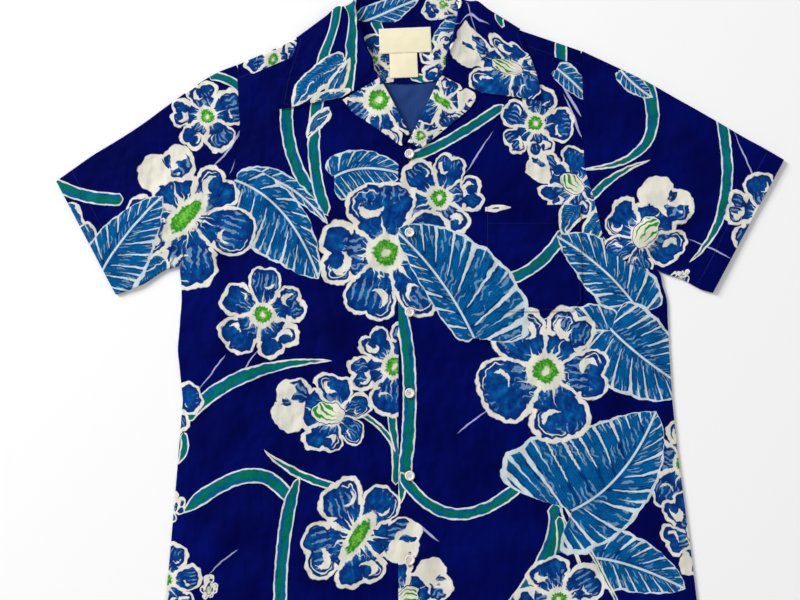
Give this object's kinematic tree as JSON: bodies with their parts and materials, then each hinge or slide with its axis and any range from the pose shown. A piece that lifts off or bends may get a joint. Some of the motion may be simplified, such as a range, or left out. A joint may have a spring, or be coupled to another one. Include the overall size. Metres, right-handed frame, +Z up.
{
  "type": "hawaiian shirt",
  "caption": "Short-sleeved camp-collar shirt in a large floral print, buttoned and laid flat face up, with a matched chest pocket.",
  "frame": {"origin": "middle of the shirt's outline, on the surface that it lies on", "axes": "+X across the shirt towards the wearer's left sleeve, +Y from the hem to the collar, +Z up out of the front"},
  "size_m": [0.861, 0.7708, 0.0144],
  "materials": {
    "print_cloth": "soft woven cotton, navy with a printed floral in blues, teal, green and cream",
    "label_cloth": "plain woven cream tape",
    "button_pearl": "pearly grey, semi-gloss"
  },
  "bodies": {
    "root": {"back": "print_cloth", "yoke": "print_cloth", "yoke_lining": "print_cloth", "front_left": "print_cloth", "front_right": "print_cloth", "facing_left": "print_cloth", "facing_right": "print_cloth", "collar": "print_cloth", "sleeve_left": "print_cloth", "sleeve_right": "print_cloth", "pocket": "print_cloth", "neck_label": "label_cloth", "size_label": "label_cloth", "button_1": "button_pearl", "button_2": "button_pearl", "button_3": "button_pearl", "button_4": "button_pearl", "button_5": "button_pearl", "button_6": "button_pearl"}
  },
  "joints": []
}
